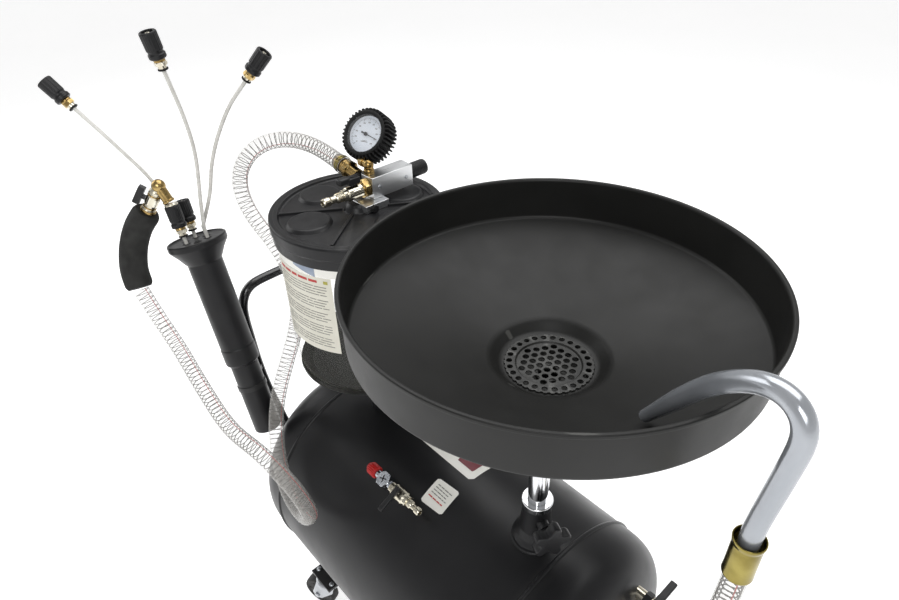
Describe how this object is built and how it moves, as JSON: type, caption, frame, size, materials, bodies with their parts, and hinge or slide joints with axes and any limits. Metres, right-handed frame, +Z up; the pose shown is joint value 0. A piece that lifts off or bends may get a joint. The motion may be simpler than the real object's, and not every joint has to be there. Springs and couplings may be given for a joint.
{
  "type": "waste oil drainer",
  "caption": "Wheeled waste-oil drainer: pressure tank, drain pan on a telescopic mast, clear pre-chamber with vacuum ejector, suction hose with probes and discharge hose.",
  "frame": {"origin": "centre of the bounding box's footprint, on the floor", "axes": "+Z up, X along the tank with the mast at +X and the push handle at -X, the fittings' side toward -Y"},
  "size_m": [1.1179, 0.5177, 1.1778],
  "materials": {
    "black_paint": "satin",
    "black_plastic": "satin",
    "black_rubber": "matt",
    "foam": "matt foam",
    "chrome": "polished",
    "zinc": "zinc plated",
    "yellow_zinc": "yellow zinc plated",
    "nickel": "nickel plated brass",
    "brass": "bare",
    "aluminium": "satin",
    "red_plastic": "gloss",
    "clear_plastic": "clear",
    "clear_hose": "clear with a steel spiral",
    "dial_white": "printed"
  },
  "bodies": {
    "tank": {"tank_barrel": "black_paint", "tank_front_head": "black_paint", "tank_rear_head": "black_paint", "front_caster_beam": "black_paint", "rear_caster_beam": "black_paint", "mast_socket": "black_paint", "mast_ring": "chrome", "safety_valve": "zinc", "air_valve": "nickel", "outlet_valve": "nickel", "chamber_neck": "black_paint", "chamber_glass": "clear_plastic", "chamber_seal": "black_rubber", "chamber_lid": "black_plastic", "tie_rod": "zinc", "ejector_foot": "aluminium", "ejector_block": "aluminium", "muffler": "black_plastic", "ejector_valve": "nickel", "hose_elbow": "black_plastic", "gauge_boot": "black_rubber", "gauge_dial": "dial_white", "gauge_lens": "clear_plastic", "gauge_stem": "brass", "handle": "black_paint", "holder_tube": "black_plastic", "holder_clamp": "black_plastic", "suction_hose": "clear_hose", "discharge_hose": "clear_hose", "suction_grip": "foam", "grip_valve": "nickel", "probe_4": "black_plastic"},
    "mast": {"mast_tube": "chrome", "hook_pipe": "zinc", "hook_ferrule": "yellow_zinc"},
    "pan": {"pan": "black_plastic"},
    "strainer": {"strainer": "zinc"},
    "knob": {"mast_knob": "black_plastic"},
    "safety_cap": {"safety_cap": "red_plastic"},
    "pointer": {"gauge_pointer": "black_plastic"},
    "swivel_front_left": {"fork_front_left": "zinc"},
    "wheel_front_left": {"wheel_front_left": "black_rubber"},
    "swivel_front_right": {"fork_front_right": "zinc"},
    "wheel_front_right": {"wheel_front_right": "black_rubber"},
    "swivel_rear_left": {"fork_rear_left": "zinc"},
    "wheel_rear_left": {"wheel_rear_left": "black_rubber"},
    "swivel_rear_right": {"fork_rear_right": "zinc"},
    "wheel_rear_right": {"wheel_rear_right": "black_rubber"},
    "drain_lever": {"drain_lever": "black_plastic"},
    "outlet_lever": {"outlet_lever": "black_plastic"},
    "air_lever": {"air_lever": "black_plastic"},
    "ejector_lever": {"ejector_lever": "black_plastic"},
    "grip_lever": {"grip_lever": "black_plastic"},
    "probe_1": {"probe_1": "black_plastic"},
    "probe_2": {"probe_2": "black_plastic"},
    "probe_3": {"probe_3": "black_plastic"},
    "probe_5": {"probe_5": "black_plastic"}
  },
  "joints": [
    {"name": "mast_height", "type": "slide", "parent": "tank", "child": "mast", "axis": [0, 0, 1], "range_m": [-0.18, 0.06], "deforming": ["discharge_hose"]},
    {"name": "pan_swivel", "type": "hinge", "parent": "mast", "child": "pan", "pos_m": [0.2525, 0.0206, 0.85], "axis": [0, 0, 1], "continuous": true},
    {"name": "strainer_lift", "type": "slide", "parent": "pan", "child": "strainer", "axis": [0, 0, 1], "range_m": [0, 0.06]},
    {"name": "knob_turn", "type": "hinge", "parent": "tank", "child": "knob", "pos_m": [0.2525, 0.0206, 0.585], "axis": [0.9063, -0.4226, 0], "continuous": true},
    {"name": "swivel_front_left", "type": "hinge", "parent": "tank", "child": "swivel_front_left", "pos_m": [0.2651, 0.1756, 0.103], "axis": [0, 0, 1], "continuous": true},
    {"name": "roll_front_left", "type": "hinge", "parent": "swivel_front_left", "child": "wheel_front_left", "pos_m": [0.23805, 0.16835, 0.0375], "axis": [-0.2588, 0.9659, 0], "continuous": true},
    {"name": "swivel_front_right", "type": "hinge", "parent": "tank", "child": "swivel_front_right", "pos_m": [0.2651, -0.1344, 0.103], "axis": [0, 0, 1], "continuous": true},
    {"name": "roll_front_right", "type": "hinge", "parent": "swivel_front_right", "child": "wheel_front_right", "pos_m": [0.23879, -0.12482, 0.0375], "axis": [0.342, 0.9397, 0], "continuous": true},
    {"name": "swivel_rear_left", "type": "hinge", "parent": "tank", "child": "swivel_rear_left", "pos_m": [-0.1649, 0.1756, 0.103], "axis": [0, 0, 1], "continuous": true},
    {"name": "roll_rear_left", "type": "hinge", "parent": "swivel_rear_left", "child": "wheel_rear_left", "pos_m": [-0.19028, 0.18743, 0.0375], "axis": [0.4226, 0.9063, 0], "continuous": true},
    {"name": "swivel_rear_right", "type": "hinge", "parent": "tank", "child": "swivel_rear_right", "pos_m": [-0.1649, -0.1344, 0.103], "axis": [0, 0, 1], "continuous": true},
    {"name": "roll_rear_right", "type": "hinge", "parent": "swivel_rear_right", "child": "wheel_rear_right", "pos_m": [-0.19121, -0.14398, 0.0375], "axis": [-0.342, 0.9397, 0], "continuous": true},
    {"name": "drain_lever_turn", "type": "hinge", "parent": "tank", "child": "drain_lever", "pos_m": [-0.125, 0.0206, 0.59], "axis": [0, -1, 0], "range_deg": [0, 90]},
    {"name": "outlet_lever_turn", "type": "hinge", "parent": "tank", "child": "outlet_lever", "pos_m": [0.4241, 0.0986, 0.458], "axis": [0, 0, 1], "range_deg": [-90, 0]},
    {"name": "air_lever_turn", "type": "hinge", "parent": "tank", "child": "air_lever", "pos_m": [0.0576, -0.07935, 0.53047], "axis": [0, -0.4462, 0.8949], "range_deg": [0, 90]},
    {"name": "ejector_lever_turn", "type": "hinge", "parent": "tank", "child": "ejector_lever", "pos_m": [-0.1234, 0.0166, 0.963], "axis": [0, 0, 1], "range_deg": [0, 90]},
    {"name": "grip_lever_turn", "type": "hinge", "parent": "tank", "child": "grip_lever", "pos_m": [-0.43332, -0.17501, 0.90824], "axis": [-0.5587, -0.6178, 0.5534], "range_deg": [0, 90]},
    {"name": "pointer_turn", "type": "hinge", "parent": "tank", "child": "pointer", "pos_m": [-0.1536, 0.0646, 1.0327], "axis": [0.2539, -0.7358, 0.6278], "range_deg": [-30, 240]},
    {"name": "safety_cap_pull", "type": "slide", "parent": "tank", "child": "safety_cap", "axis": [-1, 0, 0], "range_m": [0, 0.004], "stiffness_N_per_m": 600},
    {"name": "probe_1_pull", "type": "slide", "parent": "tank", "child": "probe_1", "axis": [-0.279, 0, 0.9603], "range_m": [0, 0.15]},
    {"name": "probe_2_pull", "type": "slide", "parent": "tank", "child": "probe_2", "axis": [-0.279, 0, 0.9603], "range_m": [0, 0.15]},
    {"name": "probe_3_pull", "type": "slide", "parent": "tank", "child": "probe_3", "axis": [-0.279, 0, 0.9603], "range_m": [0, 0.15]},
    {"name": "probe_5_pull", "type": "slide", "parent": "tank", "child": "probe_5", "axis": [-0.279, 0, 0.9603], "range_m": [0, 0.15]}
  ]
}
